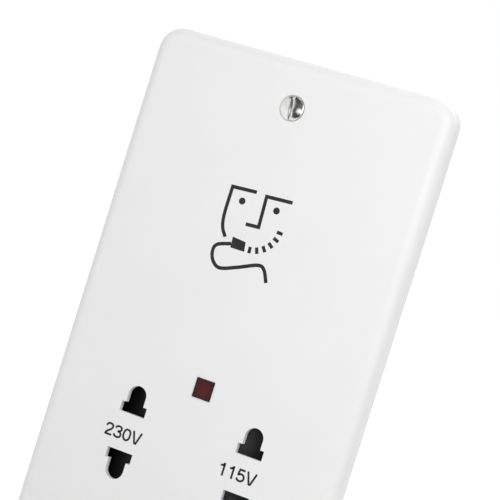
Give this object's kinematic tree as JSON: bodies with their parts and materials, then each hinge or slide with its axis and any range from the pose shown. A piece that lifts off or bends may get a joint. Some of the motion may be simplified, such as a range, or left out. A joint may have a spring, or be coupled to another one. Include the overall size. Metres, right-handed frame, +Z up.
{
  "type": "shaver socket",
  "caption": "White two-gang wall plate with a pair of dual-voltage shaver outlets, a sliding interlock shutter, a red indicator and an isolating transformer behind.",
  "frame": {"origin": "on the wall plane, midway between the two fixing screws, in the middle of the plate", "axes": "+Z up along the plate's height, +X to the right seen from the front, +Y into the wall"},
  "size_m": [0.086, 0.0468, 0.146],
  "materials": {
    "plate_white": "smooth white moulded thermoset, semi-gloss",
    "black_moulding": "black moulded plastic, fine matt",
    "lens_red": "dark red translucent lens, glossy",
    "natural_moulding": "natural nylon moulding, satin",
    "winding_copper": "enamelled copper wire, layered",
    "contact_brass": "stamped brass strip, bright",
    "terminal_brass": "machined brass, satin",
    "screw_steel": "nickel-plated steel, bright",
    "spring_steel": "spring steel wire",
    "core_lamination": "stacked electrical steel sheets, dark grey",
    "strap_zinc": "zinc-plated steel strip",
    "lamp_glass": "clear glass tube",
    "resistor_body": "coated carbon film resistor",
    "cutout_body": "sealed black case"
  },
  "bodies": {
    "socket": {"front_plate": "plate_white", "fixing_screws": "screw_steel", "indicator_lens": "lens_red", "neon_lamp": "lamp_glass", "neon_resistor": "resistor_body", "centring_spring": "spring_steel", "contact_carrier": "black_moulding", "contact_cover": "black_moulding", "contact_230_upper": "contact_brass", "contact_230_lower": "contact_brass", "contact_115_upper": "contact_brass", "contact_115_lower": "contact_brass", "switch_pole_line": "contact_brass", "switch_pole_load": "contact_brass", "core_e_stack": "core_lamination", "core_i_stack": "core_lamination", "bobbin": "natural_moulding", "primary_winding": "winding_copper", "secondary_winding": "winding_copper", "thermal_cutout": "cutout_body", "core_strap_upper": "strap_zinc", "core_strap_lower": "strap_zinc", "strap_screws": "screw_steel", "outlet_strip_230": "contact_brass", "outlet_strip_115": "contact_brass", "common_strip": "contact_brass", "line_strip": "contact_brass", "neutral_strip": "contact_brass", "load_strip": "contact_brass", "rear_housing": "black_moulding", "housing_screws": "screw_steel", "terminal_block": "natural_moulding", "terminal_line": "terminal_brass", "terminal_earth": "terminal_brass", "terminal_neutral": "terminal_brass", "terminal_screws": "screw_steel", "block_screws": "screw_steel"},
    "shutter": {"shutter_slide": "black_moulding", "bridge_contact": "contact_brass"}
  },
  "joints": [
    {"name": "shutter_travel", "type": "slide", "parent": "socket", "child": "shutter", "axis": [1, 0, 0], "range_m": [-0.0083, 0.0083], "stiffness_N_per_m": 150, "deforming": ["centring_spring"]}
  ]
}
